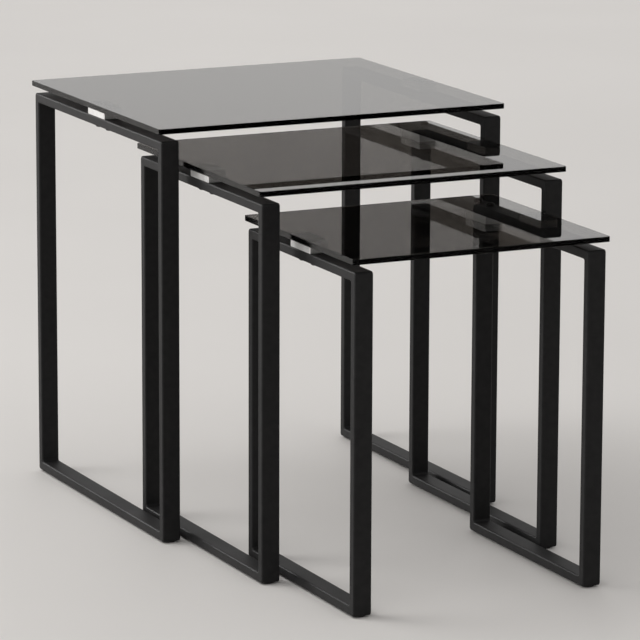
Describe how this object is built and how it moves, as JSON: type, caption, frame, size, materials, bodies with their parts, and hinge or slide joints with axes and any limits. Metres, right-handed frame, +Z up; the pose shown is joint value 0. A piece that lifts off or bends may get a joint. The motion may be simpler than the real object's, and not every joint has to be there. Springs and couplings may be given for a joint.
{
  "type": "nesting tables",
  "caption": "Nest of side tables, each with a smoked glass top floating on metal blocks over black rectangular-tube loop side frames, so the smaller ones slide in below the larger.",
  "frame": {"origin": "on the floor, in the middle of the box round the whole nest as it stands pulled out", "axes": "+X to the right of the nest seen from the front, across the tables; +Y towards the back, the way the smaller tables are pushed in; +Z up"},
  "size_m": [0.5, 0.858, 0.55],
  "materials": {
    "smoked_glass": "polished smoked tempered glass with polished edges",
    "black_powder_coat": "satin black powder coat on steel tube",
    "bright_block": "satin bright metal",
    "black_screw": "black oxide steel screw",
    "black_glide": "matte black plastic"
  },
  "bodies": {
    "large_table": {"large_glass_top": "smoked_glass", "large_left_front_leg": "black_powder_coat", "large_left_top_rail": "black_powder_coat", "large_left_back_leg": "black_powder_coat", "large_left_bottom_rail": "black_powder_coat", "large_left_block": "bright_block", "large_left_screw_front": "black_screw", "large_left_glide_front": "black_glide", "large_left_screw_back": "black_screw", "large_left_glide_back": "black_glide", "large_right_front_leg": "black_powder_coat", "large_right_top_rail": "black_powder_coat", "large_right_back_leg": "black_powder_coat", "large_right_bottom_rail": "black_powder_coat", "large_right_block": "bright_block", "large_right_screw_front": "black_screw", "large_right_glide_front": "black_glide", "large_right_screw_back": "black_screw", "large_right_glide_back": "black_glide"},
    "medium_table": {"medium_glass_top": "smoked_glass", "medium_left_front_leg": "black_powder_coat", "medium_left_top_rail": "black_powder_coat", "medium_left_back_leg": "black_powder_coat", "medium_left_bottom_rail": "black_powder_coat", "medium_left_block": "bright_block", "medium_left_screw_front": "black_screw", "medium_left_glide_front": "black_glide", "medium_left_screw_back": "black_screw", "medium_left_glide_back": "black_glide", "medium_right_front_leg": "black_powder_coat", "medium_right_top_rail": "black_powder_coat", "medium_right_back_leg": "black_powder_coat", "medium_right_bottom_rail": "black_powder_coat", "medium_right_block": "bright_block", "medium_right_screw_front": "black_screw", "medium_right_glide_front": "black_glide", "medium_right_screw_back": "black_screw", "medium_right_glide_back": "black_glide"},
    "small_table": {"small_glass_top": "smoked_glass", "small_left_front_leg": "black_powder_coat", "small_left_top_rail": "black_powder_coat", "small_left_back_leg": "black_powder_coat", "small_left_bottom_rail": "black_powder_coat", "small_left_block": "bright_block", "small_left_screw_front": "black_screw", "small_left_glide_front": "black_glide", "small_left_screw_back": "black_screw", "small_left_glide_back": "black_glide", "small_right_front_leg": "black_powder_coat", "small_right_top_rail": "black_powder_coat", "small_right_back_leg": "black_powder_coat", "small_right_bottom_rail": "black_powder_coat", "small_right_block": "bright_block", "small_right_screw_front": "black_screw", "small_right_glide_front": "black_glide", "small_right_screw_back": "black_screw", "small_right_glide_back": "black_glide"}
  },
  "joints": [
    {"name": "medium_slide", "type": "slide", "parent": "large_table", "child": "medium_table", "axis": [0, -1, 0], "range_m": [-0.26, 0.2]},
    {"name": "small_slide", "type": "slide", "parent": "large_table", "child": "small_table", "axis": [0, -1, 0], "range_m": [-0.48, 0.365]}
  ]
}
